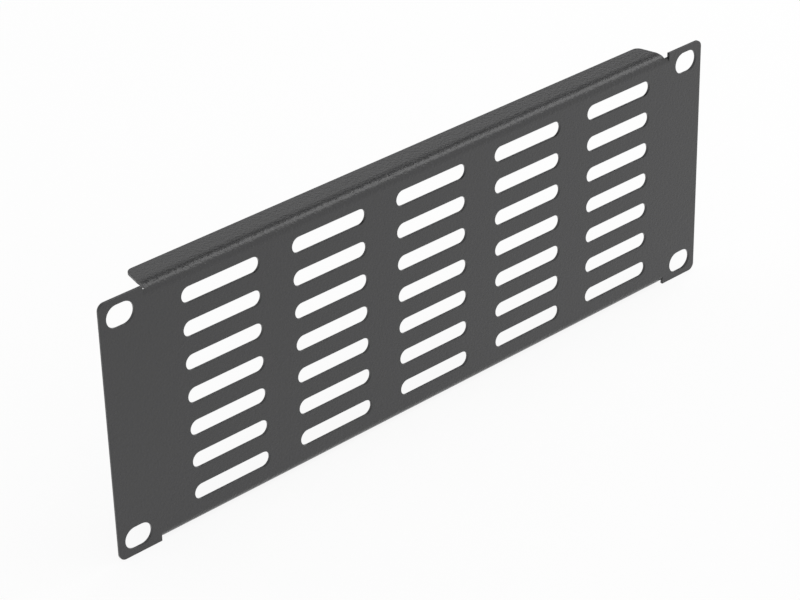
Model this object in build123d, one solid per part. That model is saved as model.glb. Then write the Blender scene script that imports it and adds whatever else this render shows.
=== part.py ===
from build123d import *
from math import cos, degrees, radians, sin, tan
import os

# A vented blanking panel, two units high, for a ten-inch equipment rack.
# It is one folded sheet of steel: a flat web with rows of vent slots, a flange folded
# back along its top and its bottom edge, and a flat ear at each end with two screw slots.
# X runs along the panel, Y goes back into the rack and Z is up. The origin is on the
# back of the ears, where they seat on the rack rails, midway between the four screws.

# The flat panel, seen from the front.
panel_width = 254.0
panel_height = 88.1
sheet = 1.0
ear_corner_radius = 2.4
cut_edge_radius = 0.2

# A screw slot, and the metal left beyond it: towards the panel's end, towards the
# relief notch, and towards the ear's top or bottom edge.
screw_slot_length = 10.0
screw_slot_width = 7.5
screw_end_margin = 2.5
screw_notch_margin = 3.4
screw_edge_margin = 2.2

# The folds. From the flange, the sheet leads into each fold with a gentle turn, then bends
# tightly. A flange's depth runs from the panel's front face to the flange's back edge, and
# its drop is how far its outer face lies inside the ear's edge.
inside_lead_in_radius = 16.8
lead_in_turn = 8.5
inside_bend_radius = 1.75
top_flange_depth = 12.0
top_flange_drop = 0.65
bottom_flange_depth = 8.0
bottom_flange_drop = 0.35
flange_end_taper = 12.0
flange_corner_radius = 2.5

# The relief notch between each end of a fold and the ear. Its depth is measured on the flat
# sheet, from the ear's edge, so the start of the bend runs on below it, up to the ear.
notch_width = 1.6
notch_depth = 1.7

# The vent slots, the metal between neighbours, and the least metal left around the array.
# The array sits a little to the right of the panel's middle, and a little above it.
vent_slot_length = 29.6
vent_slot_width = 5.4
vent_gap_x = 12.8
vent_gap_z = 6.0
vent_side_margin = 7.0
vent_edge_margin = 2.6
vent_shift_x = 2.1
vent_shift_z = 0.6

front = -sheet
lead_in_radius = inside_lead_in_radius + sheet / 2
bend_radius = inside_bend_radius + sheet / 2
turned = radians(lead_in_turn)
fold_depth = sheet / 2 + lead_in_radius * sin(turned) + bend_radius * (1 - sin(turned))
fold_height = sheet / 2 + lead_in_radius * (1 - cos(turned)) + bend_radius * cos(turned)
ear_width = screw_end_margin + screw_slot_length + screw_notch_margin
ear_start = panel_width / 2 - ear_width
body_end = ear_start - notch_width
body_top = panel_height / 2 - top_flange_drop
body_bottom = bottom_flange_drop - panel_height / 2


def half_web(height):
    """Side view of the web from its middle up to a bend, as a line midway in the sheet."""
    web_y = front + sheet / 2
    return Line((web_y, 0), (web_y, height - fold_height))


def half_fold(depth, height):
    """The same line with the whole fold and the flange."""
    web = half_web(height)
    bend = JernArc(web @ 1, web % 1, bend_radius, lead_in_turn - 90)
    lead_in = JernArc(bend @ 1, bend % 1, lead_in_radius, -lead_in_turn)
    flange = Line(lead_in @ 1, (front + depth, height - sheet / 2))
    return web + bend + lead_in + flange


def half_bridge(height):
    """The same line with the start of the bend, cut off by the bottom of a relief notch."""
    web = half_web(height)
    bent_length = panel_height / 2 - notch_depth - (height - fold_height)
    return web + JernArc(web @ 1, web % 1, bend_radius, -degrees(bent_length / bend_radius))


def side_view(upper, lower):
    """Side view of the sheet: the two half lines end to end, at the sheet's thickness."""
    return trace(upper + mirror(lower, about=Plane.XZ), line_width=sheet)


def flange_plan(depth):
    """Plan of the body as deep as a flange, whose ends draw in once the fold is past."""
    fold_end = front + fold_depth
    back = front + depth
    drawn_in = (back - fold_end) * tan(radians(flange_end_taper))
    right = [(body_end, front), (body_end, fold_end), (body_end - drawn_in, back)]
    left = [(-x, y) for x, y in reversed(right)]
    plan = Polygon(*right, *left, align=None)
    corner_radius = min(flange_corner_radius, (back - fold_end) / 2)
    return fillet(plan.vertices().group_by(Axis.Y)[-1], corner_radius)


def folded_body():
    """The web with its flanges, cut to length, with tapered flange ends and round corners."""
    upper = half_fold(top_flange_depth, body_top)
    lower = half_fold(bottom_flange_depth, -body_bottom)
    strip = extrude(Plane.YZ * side_view(upper, lower), amount=body_end, both=True)
    above = extrude(flange_plan(top_flange_depth), amount=panel_height / 2)
    below = extrude(flange_plan(bottom_flange_depth), amount=-panel_height / 2)
    return strip & (above + below)


def right_bridge():
    """The sheet between the relief notches, from the folded body to the right ear."""
    profile = side_view(half_bridge(body_top), half_bridge(-body_bottom))
    return extrude(Plane.YZ.offset(body_end) * profile, amount=notch_width)


def ear_outline():
    """Front view of the right ear, with its two screw slots."""
    outline = Pos(ear_start + ear_width / 2, 0) * Rectangle(ear_width, panel_height)
    outline = fillet(outline.vertices().group_by(Axis.X)[-1], ear_corner_radius)
    screw_x = panel_width / 2 - screw_end_margin - screw_slot_length / 2
    screw_z = panel_height / 2 - screw_edge_margin - screw_slot_width / 2
    for side in (-1, 1):
        outline -= Pos(screw_x, side * screw_z) * SlotOverall(screw_slot_length, screw_slot_width)
    return outline


def vent_array():
    """Front view of the vent slots: as many columns and rows as the flat web has room for."""
    pitch_x = vent_slot_length + vent_gap_x
    pitch_z = vent_slot_width + vent_gap_z
    room_x = 2 * (body_end - vent_side_margin - abs(vent_shift_x))
    flat_height = body_top - body_bottom - 2 * fold_height
    room_z = flat_height - 2 * (vent_edge_margin + abs(vent_shift_z))
    columns = int((room_x + vent_gap_x) / pitch_x)
    rows = int((room_z + vent_gap_z) / pitch_z)
    places = GridLocations(pitch_x, pitch_z, columns, rows)
    slots = [place * SlotOverall(vent_slot_length, vent_slot_width) for place in places]
    return Pos(vent_shift_x, vent_shift_z) * Sketch(children=slots)


def cut_edges(panel):
    """The edges that cutting left: the slots' rims and the outlines of the ears and flanges."""
    flats = panel.faces().filter_by(GeomType.PLANE)
    flats = [flat for flat in flats if flat.area > sheet * panel_width]
    edges = [edge for flat in flats for rim in flat.inner_wires() for edge in rim.edges()]
    for edge in [edge for flat in flats for edge in flat.outer_wire().edges()]:
        place = edge.center()
        on_ear = abs(place.X) > ear_start + 0.01
        on_flange = place.Y > front + fold_depth + 0.01
        if on_ear or on_flange:
            edges.append(edge)
    return edges


def vented_panel():
    """The whole panel: body and ears in one sheet, with the vents cut and the edges eased."""
    right_end = right_bridge() + extrude(Plane.XZ * ear_outline(), amount=sheet)
    panel = folded_body() + right_end + mirror(right_end, about=Plane.YZ)
    panel -= extrude(Plane.XZ * vent_array(), amount=2 * sheet, both=True)
    return fillet(cut_edges(panel), cut_edge_radius)


os.makedirs("parts", exist_ok=True)
export_step(vented_panel(), "parts/vented_panel.step")
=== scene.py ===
from math import pi, radians

import bpy
from mathutils import Matrix, Vector


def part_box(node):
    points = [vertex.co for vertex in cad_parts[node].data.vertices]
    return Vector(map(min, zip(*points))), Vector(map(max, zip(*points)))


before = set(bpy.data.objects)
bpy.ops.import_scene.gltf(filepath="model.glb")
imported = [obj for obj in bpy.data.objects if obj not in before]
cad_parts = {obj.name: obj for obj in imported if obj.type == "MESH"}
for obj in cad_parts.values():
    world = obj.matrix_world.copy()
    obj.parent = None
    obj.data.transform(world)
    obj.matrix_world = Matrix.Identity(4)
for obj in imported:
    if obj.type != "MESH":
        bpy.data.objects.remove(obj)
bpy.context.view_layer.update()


# The panel: one sheet of steel, cut, folded along its top and bottom, and then coated.
# The finish is a black powder coat, baked on. It is satin, with a fine grain that stands up
# more over the tight bend of each fold, where the steel under it was stretched.

coat_dark = (0.0318, 0.0318, 0.0330, 1.0)
coat_light = (0.0348, 0.0348, 0.0360, 1.0)
coat_roughness = 0.23
coat_roughness_spread = 0.05
grain_size = 0.0009
grain_detail = 3.0
grain_height = 0.00009
extra_height_on_bends = 0.00016
cloud_size = 0.06
cloud_detail = 2.0
pattern_turn = (0.6, 0.4, 0.8)
bend_above = 0.0406
bend_back = 0.0018
bend_side = 0.1100
bend_fade = 0.0010


class Wire:
    """An output of a node. Its operators add Math nodes, and add() makes any other node."""

    def __init__(self, tree, socket=None):
        self.tree = tree
        self.socket = socket

    def add(self, kind, settings=(), sockets=(), output=0):
        """Makes a node, applies its settings, fills its sockets and gives one of its outputs."""
        node = self.tree.nodes.new(kind)
        for name, value in dict(settings).items():
            setattr(node, name, value)
        for name, value in dict(sockets).items():
            if isinstance(value, Wire):
                self.tree.links.new(value.socket, node.inputs[name])
            else:
                node.inputs[name].default_value = value
        return Wire(self.tree, node.outputs[output] if node.outputs else None)

    def math(self, operation, *values):
        return self.add("ShaderNodeMath", {"operation": operation}, enumerate(values))

    def __add__(self, other):
        return self.math("ADD", self, other)

    def __sub__(self, other):
        return self.math("SUBTRACT", self, other)

    def __rsub__(self, other):
        return self.math("SUBTRACT", other, self)

    def __mul__(self, other):
        return self.math("MULTIPLY", self, other)

    def __abs__(self):
        return self.math("ABSOLUTE", self)

    __radd__ = __add__
    __rmul__ = __mul__


def new_material(name):
    """An empty material, and a wire to build its nodes from."""
    material = bpy.data.materials.new(name)
    material.use_nodes = True
    material.node_tree.nodes.clear()
    return material, Wire(material.node_tree)


def noise(wire, place, size, detail):
    """Soft noise about as coarse as the given size, from -0.5 to 0.5."""
    sockets = {"Vector": place, "Scale": 1 / size, "Detail": detail}
    return wire.add("ShaderNodeTexNoise", {}, sockets) - 0.5


def step(value, edge, fade):
    """Rises softly from 0 to 1 as the value passes the edge."""
    ends = {"Value": value, "From Min": edge - fade / 2, "From Max": edge + fade / 2}
    return value.add("ShaderNodeMapRange", {"interpolation_type": "SMOOTHSTEP"}, ends)


def along(place, axis):
    """How far a place or a direction reaches along the X, Y or Z axis."""
    return place.add("ShaderNodeSeparateXYZ", {}, {"Vector": place}, output=axis)


def on_bends(place):
    """1 on the tight bend of each fold, 0 on the flats and on the ears, with soft edges."""
    outside = step(abs(along(place, "Z")), bend_above, bend_fade)
    behind = step(along(place, "Y"), bend_back, bend_fade)
    on_ear = step(abs(along(place, "X")), bend_side, bend_fade)
    return outside * (1 - behind) * (1 - on_ear)


def mix_colours(wire, factor, first, second):
    """Goes from the first colour at a factor of 0 to the second one at 1."""
    mix = ("ShaderNodeMix", {"data_type": "RGBA"}, {0: factor, 6: first, 7: second})
    return wire.add(*mix, output=2)


def powder_coat():
    """Black powder coat: a slightly clouded colour and gloss over a fine grain."""
    material, wire = new_material("black_powder_coat")
    place = wire.add("ShaderNodeTexCoord", output="Object")
    turned = wire.add("ShaderNodeMapping", {}, {"Vector": place, "Rotation": pattern_turn})
    clouds = noise(wire, turned, cloud_size, cloud_detail)
    grain = noise(wire, turned, grain_size, grain_detail)
    lightness = 0.5 + (clouds + grain) * 0.5
    colour = mix_colours(wire, lightness, coat_dark, coat_light)
    roughness = coat_roughness + clouds * coat_roughness_spread
    height = grain * (grain_height + on_bends(place) * extra_height_on_bends)
    normal = wire.add("ShaderNodeBump", {}, {"Height": height, "Distance": 1.0})
    shader = wire.add("ShaderNodeBsdfPrincipled", {}, {
        "Base Color": colour,
        "Roughness": roughness,
        "Normal": normal,
    })
    wire.add("ShaderNodeOutputMaterial", {}, {"Surface": shader})
    return material


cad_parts["vented_panel"].data.materials[0] = powder_coat()


# The floor that the panel stands on: a plain white sheet of paper, wide enough for any view.
# The camera and the coat see it partly as an even white, so that it stays white beside the
# panel, and partly by its light, so that it keeps the panel's soft shadow.

floor_half_width = 4.0
floor_colour = (0.95, 0.95, 0.95, 1.0)
even_white = (1.0, 1.0, 1.0, 1.0)
floor_evenness = 0.90


def floor_paper():
    """White paper that is mostly an even white to the camera and in reflections."""
    material, wire = new_material("white_paper")
    paper = wire.add("ShaderNodeBsdfDiffuse", {}, {"Color": floor_colour})
    white = wire.add("ShaderNodeEmission", {}, {"Color": even_white, "Strength": 1.0})
    camera = wire.add("ShaderNodeLightPath", output="Is Camera Ray")
    glossy = wire.add("ShaderNodeLightPath", output="Is Glossy Ray")
    seen = wire.math("MAXIMUM", camera, glossy)
    mixed = wire.add(
        "ShaderNodeMixShader", {}, {0: seen * floor_evenness, 1: paper, 2: white}
    )
    wire.add("ShaderNodeOutputMaterial", {}, {"Surface": mixed})
    return material


lowest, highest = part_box("vented_panel")
floor_mesh = bpy.data.meshes.new("floor")
signs = [(-1, -1), (1, -1), (1, 1), (-1, 1)]
floor_corners = [(x * floor_half_width, y * floor_half_width, lowest.z) for x, y in signs]
floor_mesh.from_pydata(floor_corners, [], [(0, 1, 2, 3)])
floor = bpy.data.objects.new("floor", floor_mesh)
bpy.context.scene.collection.objects.link(floor)
floor_mesh.materials.append(floor_paper())


# The light of a small studio, turned a little to the panel's right: a white tent all round,
# somewhat brighter in front, and one soft box above the panel. The soft box gives the light
# line along the folds. The dark gap in the tent's roof behind it gives the dark line beside it.

studio_turn = radians(24)
tent_light = 0.98
front_light = 1.16
front_edge = radians(119)
front_fade = radians(50)
gap_light = 0.03
gap_low = radians(59)
gap_high = radians(78)
gap_fade = radians(4)
box_place = (0.721, 0.064, 0.90)
box_size = (1.20, 0.73)
box_light = 1.6

world = bpy.data.worlds.new("studio")
bpy.context.scene.world = world
world.use_nodes = True
world.node_tree.nodes.clear()
tent = Wire(world.node_tree)
direction = tent.add("ShaderNodeTexCoord", output="Generated")
unturned = {"Vector": direction, "Rotation": (0, 0, -studio_turn)}
direction = tent.add("ShaderNodeMapping", {}, unturned)

# The angle up from level behind the panel, over the top, and down to level in front of it.
rise = tent.math("ARCTAN2", along(direction, "Z"), along(direction, "Y"))
in_gap = step(rise, gap_low, gap_fade) - step(rise, gap_high, gap_fade)
in_front = step(rise, front_edge, front_fade)
light = tent_light + in_front * (front_light - tent_light) - in_gap * (tent_light - gap_light)

# The camera sees the tent as plain white.
seen_directly = tent.add("ShaderNodeLightPath", output="Is Camera Ray")
strength = tent.math("MAXIMUM", light, seen_directly)
background = tent.add("ShaderNodeBackground", {}, {"Strength": strength})
tent.add("ShaderNodeOutputWorld", {}, {"Surface": background})

lamp = bpy.data.lights.new("soft_box", "AREA")
lamp.shape = "RECTANGLE"
lamp.size, lamp.size_y = box_size

# This much power gives the lamp's face a brightness of box_light, where white is 1.
lamp.energy = box_light * pi * lamp.size * lamp.size_y
soft_box = bpy.data.objects.new("soft_box", lamp)
bpy.context.scene.collection.objects.link(soft_box)
soft_box.location = box_place
soft_box.rotation_euler.z = studio_turn


# The camera stands where the photograph was taken from, to the left of the panel and above it.
# It has a long lens, 122 mm on a sensor 36 mm wide.

camera_lens = 122.015
camera_sensor = 36.0
camera_near = 0.01
camera_place = Vector((-0.50767, -0.54958, 0.42327))
camera_right = Vector((0.733647, -0.679183, -0.021737))
camera_up = Vector((0.35180, 0.35226, 0.86726))

camera_data = bpy.data.cameras.new("camera")
camera_data.lens = camera_lens
camera_data.sensor_width = camera_sensor
camera_data.clip_start = camera_near
camera = bpy.data.objects.new("camera", camera_data)
bpy.context.scene.collection.objects.link(camera)
camera_back = camera_right.cross(camera_up)
turn = Matrix((camera_right, camera_up, camera_back)).transposed().to_quaternion()
camera.matrix_world = Matrix.LocRotScale(camera_place, turn, None)
bpy.context.scene.camera = camera
bpy.context.scene.view_settings.view_transform = "Standard"
